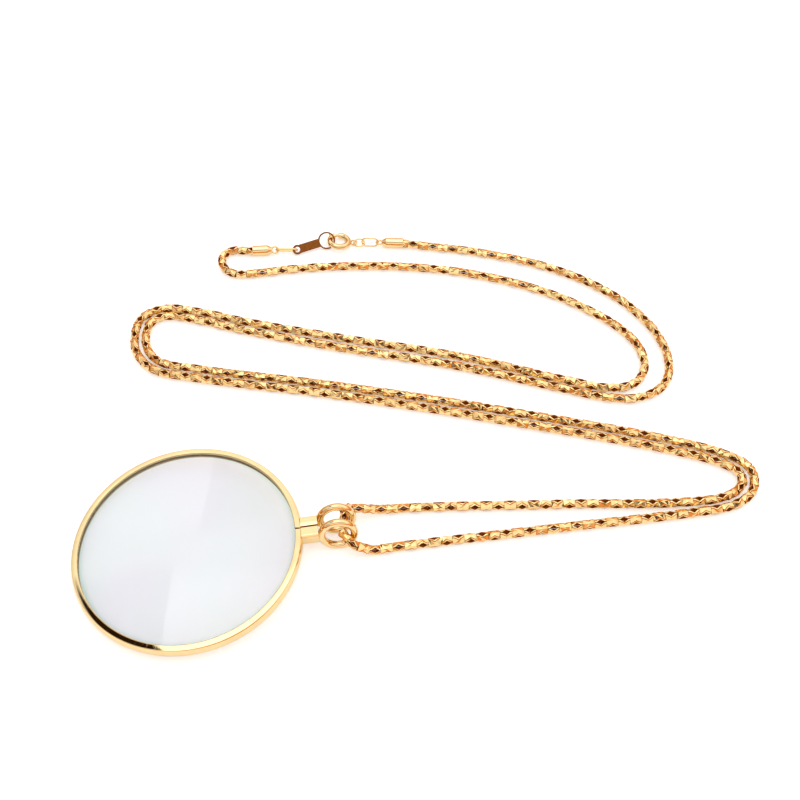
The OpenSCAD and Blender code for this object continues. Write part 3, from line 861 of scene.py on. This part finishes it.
def chain_tree():
    """Nodes that lay links along a curve, each turned a quarter from the last."""
    tree = bpy.data.node_groups.new("chain_links", "GeometryNodeTree")
    face = tree.interface
    face.new_socket("Curve", in_out="INPUT", socket_type="NodeSocketGeometry")
    for name, kind in (
        ("Link", "NodeSocketObject"), ("Start", "NodeSocketFloat"), ("End", "NodeSocketFloat"),
        ("Count", "NodeSocketInt"), ("Facing", "NodeSocketVector"), ("Wander", "NodeSocketFloat"),
        ("Wander length", "NodeSocketFloat"), ("Seed", "NodeSocketFloat"),
        ("Low corner", "NodeSocketVector"), ("High corner", "NodeSocketVector"),
        ("Material", "NodeSocketMaterial"),
    ):
        face.new_socket(name, in_out="INPUT", socket_type=kind)
    face.new_socket("Geometry", in_out="OUTPUT", socket_type="NodeSocketGeometry")
    link = tree.links.new
    given = add_node(tree, "NodeGroupInput", (-1400, 0))
    output = add_node(tree, "NodeGroupOutput", (1600, 0))

    # Points of the links, held inside the box of the strand
    trim = add_node(tree, "GeometryNodeTrimCurve", (-1000, 200), mode="FACTOR")
    link(given.outputs["Curve"], trim.inputs["Curve"])
    link(given.outputs["Start"], trim.inputs["Start"])
    link(given.outputs["End"], trim.inputs["End"])
    resample = add_node(tree, "GeometryNodeResampleCurve", (-800, 200))
    link(trim.outputs["Curve"], resample.inputs["Curve"])
    link(given.outputs["Count"], resample.inputs["Count"])
    here = add_node(tree, "GeometryNodeInputPosition", (-1000, -50))
    above = add_node(tree, "ShaderNodeVectorMath", (-800, -50), operation="MAXIMUM")
    link(here.outputs["Position"], above.inputs[0])
    link(given.outputs["Low corner"], above.inputs[1])
    within = add_node(tree, "ShaderNodeVectorMath", (-600, -50), operation="MINIMUM")
    link(above.outputs["Vector"], within.inputs[0])
    link(given.outputs["High corner"], within.inputs[1])
    hold = add_node(tree, "GeometryNodeSetPosition", (-400, 200))
    link(resample.outputs["Curve"], hold.inputs["Geometry"])
    link(within.outputs["Vector"], hold.inputs["Position"])

    # Direction of each link, with its opening towards the camera
    tangent = add_node(tree, "GeometryNodeInputTangent", (-400, -100))
    axes = add_node(tree, "FunctionNodeAxesToRotation", (-200, -100),
                    primary_axis="X", secondary_axis="Y")
    link(tangent.outputs["Tangent"], axes.inputs["Primary Axis"])
    link(given.outputs["Facing"], axes.inputs["Secondary Axis"])

    # Roll of each link: a quarter from the last, the strand's own, and a slow wandering
    spline = add_node(tree, "GeometryNodeSplineParameter", (-1200, -400))
    along = maths(tree, "DIVIDE", spline.outputs["Length"], given.outputs["Wander length"],
                  (-1000, -400))
    spot = add_node(tree, "ShaderNodeCombineXYZ", (-900, -500))
    link(along, spot.inputs["X"])
    link(given.outputs["Seed"], spot.inputs["Y"])
    noise = add_node(tree, "ShaderNodeTexNoise", (-800, -400), noise_dimensions="2D", Scale=1.0,
                     Detail=1.0)
    link(spot.outputs["Vector"], noise.inputs["Vector"])
    centred = maths(tree, "SUBTRACT", noise.outputs[0], 0.5, (-600, -400))
    fade_in = add_node(tree, "ShaderNodeMapRange", (-600, -600))
    fade_in.inputs["From Min"].default_value = 1
    fade_in.inputs["From Max"].default_value = 3
    link(along, fade_in.inputs["Value"])
    wander = maths(tree, "MULTIPLY", centred, fade_in.outputs["Result"], (-400, -400))
    stray = maths(tree, "MULTIPLY", wander, given.outputs["Wander"], (-200, -400))
    doubled = maths(tree, "MULTIPLY", stray, 2, (0, -400))
    index = add_node(tree, "GeometryNodeInputIndex", (-600, -750))
    quarter = maths(tree, "MULTIPLY", index.outputs["Index"], math.pi / 2, (-400, -750))
    tilt = add_node(tree, "GeometryNodeInputCurveTilt", (-400, -900))
    turned = maths(tree, "ADD", quarter, tilt.outputs["Tilt"], (-200, -750))
    roll = maths(tree, "ADD", turned, doubled, (0, -600))
    spin = add_node(tree, "FunctionNodeAxisAngleToRotation", (200, -400))
    spin.inputs["Axis"].default_value = (1, 0, 0)
    link(roll, spin.inputs["Angle"])
    rotate = add_node(tree, "FunctionNodeRotateRotation", (400, -200), rotation_space="LOCAL")
    link(axes.outputs["Rotation"], rotate.inputs["Rotation"])
    link(spin.outputs["Rotation"], rotate.inputs["Rotate By"])

    info = add_node(tree, "GeometryNodeObjectInfo", (400, 0))
    link(given.outputs["Link"], info.inputs["Object"])
    place = add_node(tree, "GeometryNodeInstanceOnPoints", (700, 200))
    link(hold.outputs["Geometry"], place.inputs["Points"])
    link(info.outputs["Geometry"], place.inputs["Instance"])
    link(rotate.outputs["Rotation"], place.inputs["Rotation"])
    realize = add_node(tree, "GeometryNodeRealizeInstances", (950, 200))
    link(place.outputs["Instances"], realize.inputs["Geometry"])
    paint = add_node(tree, "GeometryNodeSetMaterial", (1250, 200))
    link(realize.outputs["Geometry"], paint.inputs["Geometry"])
    link(given.outputs["Material"], paint.inputs["Material"])
    link(paint.outputs["Geometry"], output.inputs["Geometry"])
    return tree


def set_inputs(modifier, **values):
    """Sets a modifier's inputs by the identifiers of their sockets."""
    sockets = {s.name: s.identifier for s in modifier.node_group.interface.items_tree
               if s.in_out == "INPUT"}
    for name, value in values.items():
        modifier[sockets[name.replace("_", " ")]] = value


def plain_mesh(source, name):
    """The evaluated mesh of an object, as a plain object."""
    graph = bpy.context.evaluated_depsgraph_get()
    mesh = bpy.data.meshes.new_from_object(source.evaluated_get(graph))
    mesh.name = name
    piece = bpy.data.objects.new(name, mesh)
    bpy.context.scene.collection.objects.link(piece)
    return piece


class PENDANT_OT_chain(Operator):
    """Lay the links of both halves of the chain"""

    bl_idname = "pendant.chain"
    bl_label = "Chain"

    def execute(self, context):
        chain, finish = settings().chain, settings().finish
        gold = gold_plate("chain_gold", finish.pale_gold, (0.12, 0.24), 700, 0.12)
        # Painted shade: amber on the links' creases, brown inside their openings and on their
        # staples, lighter on the shells' ends
        with_painted_shade(gold, ((0, grey(1)), (0.5, finish.painted_shade_amber), (1, finish.painted_shade_brown)))
        link = bpy.data.objects.new("link", link_mesh())
        context.scene.collection.objects.link(link)
        tree = chain_tree()
        radius = chain.width / 2
        bend_room, floor_room = 0.12 * MM, 0.11 * MM
        inset = Vector((radius + bend_room, radius + bend_room, radius + floor_room))
        for side, route, node, lead, turn in (
            (-1, right_route(), "chain_right", chain.lead_right, math.pi / 2),
            (1, left_route(), "chain_left", chain.lead_left, 0),
        ):
            curve = route_curve(node + "_route", route, turn)
            length = curve.data.splines[0].calc_length()
            count = round((length - lead) / chain.pitch)
            low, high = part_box(node)
            modifier = curve.modifiers.new("links", "NODES")
            modifier.node_group = tree
            set_inputs(
                modifier,
                Link=link,
                Start=lead / length,
                End=1 - chain.pitch / 2 / length,
                Count=count,
                Facing=chain.facing,
                Wander=chain.wander,
                Wander_length=chain.wander_length,
                Seed=float(chain.seed + side),
                Low_corner=low + inset,
                High_corner=high - inset,
                Material=gold,
            )
            context.view_layer.update()
            piece = plain_mesh(curve, node + "_links")
            if not piece.data.polygons:
                raise RuntimeError("the chain has no links: " + node)
            bpy.data.objects.remove(curve)
            finish_piece(piece, gold, node)
        bpy.data.objects.remove(link)
        return {"FINISHED"}


# Fittings

class PENDANT_OT_fittings(Operator):
    """Finish the end caps, the rings, the clasp and the tag"""

    bl_idname = "pendant.fittings"
    bl_label = "Fittings"

    def execute(self, context):
        finish = settings().finish
        pale = gold_plate("fitting_gold", finish.gold, (0.08, 0.18))
        copper = gold_plate("tag_copper", finish.copper, (0.2, 0.35))
        for node, material in (
            ("right_cap", pale), ("left_cap", pale), ("end_link", pale), ("jump_ring", pale),
            ("connector", pale), ("clasp_ring", pale), ("clasp_bolt", pale), ("tag", copper),
        ):
            paint(frame["nodes"][node], material)
        return {"FINISHED"}


# Stage

def floor_material():
    """Matt white that glows a little, by the kind of ray that sees it."""
    material, tree, shader = new_material("floor_white")
    colour = settings().stage.floor_colour
    cloudy = object_noise(tree, 8, 2, (-500, 0))
    tones = ramp(tree, cloudy, ((0.3, shade(colour, 0.995)), (0.7, colour)), (-250, 0))
    tree.links.new(tones, shader.inputs["Base Color"])
    shader.inputs["Roughness"].default_value = 0.9
    shader.inputs["Specular IOR Level"].default_value = 0
    shader.inputs["Emission Color"].default_value = (1, 1, 1, 1)
    # Brighter through the glass, whose own shadow would grey it, and dimmer in the gold
    rays = add_node(tree, "ShaderNodeLightPath", (-700, -300))
    in_gold = add_node(tree, "ShaderNodeMath", (-500, -300), operation="MULTIPLY_ADD")
    in_gold.inputs[1].default_value = -0.5 * settings().stage.floor_glow
    in_gold.inputs[2].default_value = settings().stage.floor_glow
    tree.links.new(rays.outputs["Is Glossy Ray"], in_gold.inputs[0])
    glow = add_node(tree, "ShaderNodeMath", (-250, -300), operation="MULTIPLY_ADD")
    glow.inputs[1].default_value = settings().stage.lens_glow
    tree.links.new(rays.outputs["Is Transmission Ray"], glow.inputs[0])
    tree.links.new(in_gold.outputs[0], glow.inputs[2])
    tree.links.new(glow.outputs[0], shader.inputs["Emission Strength"])
    return material


# Patches of the tent over the stage. A place in the tent is given as for a flat ceiling one
# unit up. Each row holds the soft edges of a patch, its left and its right edge along X and then
# its near and its far edge along Y, each from its start to its end, and the light that it gives
TENT_PATCHES = (
    ((-0.36, -0.34), (0.1, 0.3), (-0.2, 0), (0.36, 0.5), (2, 2, 2)),
    ((-1.8, -1.3), (0.9, 1.3), (-0.94, -0.86), (-0.64, -0.56), (0.06, 0.02, 0.004)),
    ((-0.86, -0.66), (-0.35, -0.335), (-0.02, 0.08), (0.42, 0.54), (0.02, 0.008, 0.002)),
)
# The tent is dimmer on the left: from where to where, and how bright it is there
DIM_SIDE = (-1.1, -0.45)
DIM_LEVEL = 0.72


def studio_world():
    """A bright tent with a few patches over the stage, and a warm dim room round its foot."""
    stage = settings().stage
    world = bpy.data.worlds.new("studio")
    bpy.context.scene.world = world
    world.use_nodes = True
    tree = world.node_tree
    tree.nodes.clear()
    link = tree.links.new

    def slope(value, edge, low, high, place):
        """Goes softly from low to high where the value crosses an edge."""
        node = add_node(tree, "ShaderNodeMapRange", place, interpolation_type="SMOOTHSTEP")
        for name, number in (("From Min", edge[0]), ("From Max", edge[1]),
                             ("To Min", low), ("To Max", high)):
            node.inputs[name].default_value = number
        link(value, node.inputs["Value"])
        return node.outputs["Result"]

    def blend(share, a, b, place):
        """Goes from the colour a to the colour b as the share goes from 0 to 1."""
        node = add_node(tree, "ShaderNodeMix", place, data_type="RGBA")
        link(share, node.inputs["Factor"])
        for i, value in ((MIX_A, a), (MIX_B, b)):
            if isinstance(value, tuple):
                node.inputs[i].default_value = (*value, 1)
            else:
                link(value, node.inputs[i])
        return node.outputs[MIX_RESULT]

    coordinates = add_node(tree, "ShaderNodeTexCoord", (-1200, 0))
    split = add_node(tree, "ShaderNodeSeparateXYZ", (-1000, 0))
    link(coordinates.outputs["Generated"], split.inputs["Vector"])
    # Directions lower than this lie at one height, so that nothing is divided by nought
    lowest = 0.05
    height = maths(tree, "MAXIMUM", split.outputs["Z"], lowest, (-800, -200))
    across = maths(tree, "DIVIDE", split.outputs["X"], height, (-600, 0))
    ahead = maths(tree, "DIVIDE", split.outputs["Y"], height, (-600, -200))

    sky = stage.sky_strength
    room = tuple(stage.horizon_strength * part for part in stage.horizon_colour)
    rise = (math.sin(stage.room_low), math.sin(stage.room_high))
    light = blend(slope(split.outputs["Z"], rise, 0, 1, (-400, 300)), room, (sky, sky, sky),
                  (-200, 300))
    for row, (left, right, near, far, shade_of_patch) in enumerate(TENT_PATCHES):
        place = -200 - 500 * row
        patch = maths(
            tree, "MULTIPLY",
            maths(tree, "MULTIPLY", slope(across, left, 0, 1, (-400, place)),
                  slope(across, right, 1, 0, (-400, place - 100)), (-200, place)),
            maths(tree, "MULTIPLY", slope(ahead, near, 0, 1, (-400, place - 200)),
                  slope(ahead, far, 1, 0, (-400, place - 300)), (-200, place - 200)),
            (0, place))
        light = blend(patch, light, shade_of_patch, (200, 300 - 200 * row))
    rays = add_node(tree, "ShaderNodeLightPath", (200, 600))
    dim = maths(tree, "MAXIMUM", slope(across, DIM_SIDE, DIM_LEVEL, 1, (-400, 100)),
                rays.outputs["Is Camera Ray"], (400, 400))
    light = blend(rays.outputs["Is Camera Ray"], light, (1, 1, 1), (600, 100))
    background = add_node(tree, "ShaderNodeBackground", (800, 0))
    output = add_node(tree, "ShaderNodeOutputWorld", (1000, 0))
    link(light, background.inputs["Color"])
    link(dim, background.inputs["Strength"])
    link(background.outputs["Background"], output.inputs["Surface"])


class PENDANT_OT_stage(Operator):
    """Set up the camera, the floor and the light"""

    bl_idname = "pendant.stage"
    bl_label = "Camera and stage"

    def execute(self, context):
        stage = settings().stage
        scene = context.scene
        camera = bpy.data.objects.new("camera", bpy.data.cameras.new("camera"))
        scene.collection.objects.link(camera)
        camera.location = stage.camera_place
        camera.rotation_euler = (math.radians(90) - stage.camera_pitch, 0, 0)
        camera.data.lens = stage.camera_lens
        camera.data.sensor_width = 36
        camera.data.clip_start = 0.01
        camera.data.dof.use_dof = False
        scene.camera = camera
        scene.view_settings.view_transform = "Standard"

        half = stage.floor_width / 2
        floor = mesh_piece("floor", ((-half, -half, 0), (half, -half, 0), (half, half, 0),
                                     (-half, half, 0)), [(0, 1, 2, 3)], fix_normals=False)
        floor.data.materials.append(floor_material())

        studio_world()
        return {"FINISHED"}


class PENDANT_PT_panel(Panel):
    """Lists the steps that build the pendant"""

    bl_label = "Magnifier pendant"
    bl_idname = "PENDANT_PT_panel"
    bl_space_type = "VIEW_3D"
    bl_region_type = "UI"
    bl_category = "Pendant"

    def draw(self, context):
        for step in STEPS:
            self.layout.operator(step.bl_idname)
        for group in ("stage", "pendant", "chain", "fittings", "finish"):
            box = self.layout.box()
            values = getattr(settings(), group)
            for name in values.__annotations__:
                box.prop(values, name)


STEPS = (PENDANT_OT_stage, PENDANT_OT_rim, PENDANT_OT_lens, PENDANT_OT_chain, PENDANT_OT_fittings)
CLASSES = (
    StageSettings, PendantSettings, ChainSettings, FittingSettings, FinishSettings,
    PendantSceneSettings, *STEPS, PENDANT_PT_panel,
)


def register():
    for item in CLASSES:
        bpy.utils.register_class(item)
    bpy.types.Scene.magnifier_pendant = PointerProperty(type=PendantSceneSettings)


def unregister():
    del bpy.types.Scene.magnifier_pendant
    for item in reversed(CLASSES):
        bpy.utils.unregister_class(item)


def main():
    register()
    bpy.ops.pendant.stage()
    bpy.ops.pendant.rim()
    bpy.ops.pendant.lens()
    bpy.ops.pendant.chain()
    bpy.ops.pendant.fittings()


if __name__ == "__main__":
    main()
